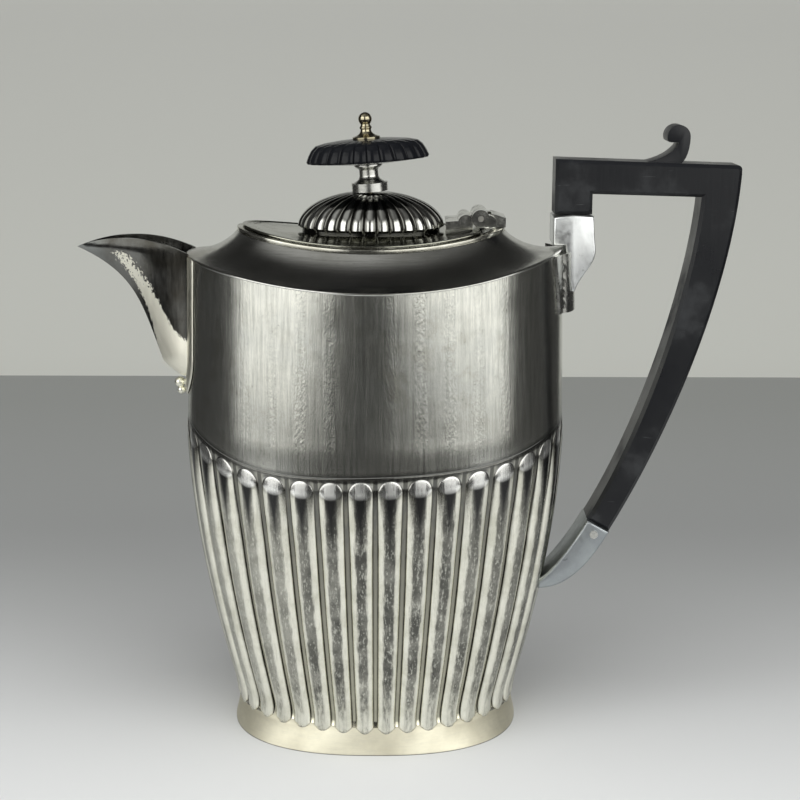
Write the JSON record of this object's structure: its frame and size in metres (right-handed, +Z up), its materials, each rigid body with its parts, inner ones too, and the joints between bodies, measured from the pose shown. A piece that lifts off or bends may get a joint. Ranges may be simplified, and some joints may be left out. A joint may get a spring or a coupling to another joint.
{
  "type": "coffee pot",
  "caption": "Oval footed metal coffee pot with a fluted lower body, beak spout, black angular handle with a scroll, and a domed hinged lid with a black knob.",
  "frame": {"origin": "centre of the foot's oval, on the plane it stands on", "axes": "+Z up, -X towards the spout, +X towards the handle, +Y away from the viewer who sees the spout on the left"},
  "size_m": [0.2316, 0.1012, 0.2206],
  "materials": {
    "silver": "worn silver plate, polished with soft scratches",
    "ebonised": "black, satin gloss",
    "pin_metal": "plain turned metal",
    "brass_nut": "plate worn through to brass"
  },
  "bodies": {
    "pot": {"body_shell": "silver", "base_plate": "silver", "foot_rim": "silver", "shoulder": "silver", "neck_rim": "silver", "spout": "silver", "spout_seam_wire": "silver", "spout_drop": "silver", "upper_handle_socket": "silver", "upper_socket_tail": "silver", "lower_handle_socket": "silver", "handle": "ebonised", "upper_handle_pin": "pin_metal", "lower_handle_pin": "pin_metal", "hinge_seat": "silver", "body_hinge_leaf": "silver", "hinge_pin": "pin_metal"},
    "lid": {"lid_plate": "silver", "lid_bezel": "silver", "lid_dome": "silver", "lid_hinge_leaf": "silver", "finial_spool": "silver", "knob_disc": "ebonised", "finial_nut": "brass_nut", "finial_stud": "pin_metal", "finial_lock_nut": "pin_metal"}
  },
  "joints": [
    {"name": "lid_hinge", "type": "hinge", "parent": "pot", "child": "lid", "pos_m": [0.03665, 0, 0.1848], "axis": [0, 1, 0], "range_deg": [0, 80]}
  ]
}
